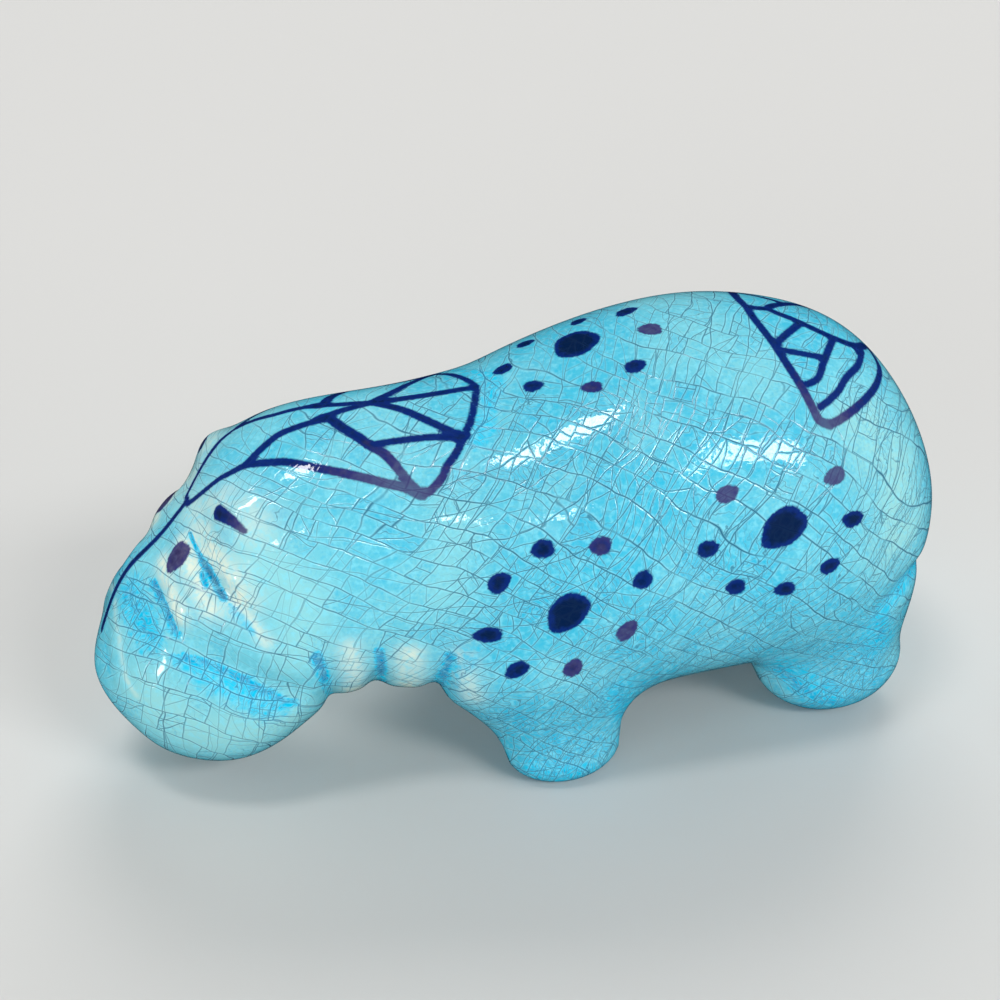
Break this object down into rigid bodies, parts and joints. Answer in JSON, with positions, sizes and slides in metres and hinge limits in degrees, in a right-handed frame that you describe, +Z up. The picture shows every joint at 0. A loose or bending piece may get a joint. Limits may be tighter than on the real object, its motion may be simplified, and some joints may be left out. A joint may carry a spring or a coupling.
{
  "type": "hippopotamus figurine",
  "caption": "Standing hippopotamus figurine of glossy copper blue crackle glazed ceramic, with painted river plants and dots.",
  "frame": {"origin": "middle of the object's box, on the plane that the four soles stand on", "axes": "+Z up, the head towards -X, the animal's left side towards -Y, the same on both sides of Y = 0"},
  "size_m": [0.2008, 0.0886, 0.1012],
  "materials": {
    "glazed_ceramic": "gloss"
  },
  "bodies": {
    "root": {"hippo": "glazed_ceramic"}
  },
  "joints": []
}
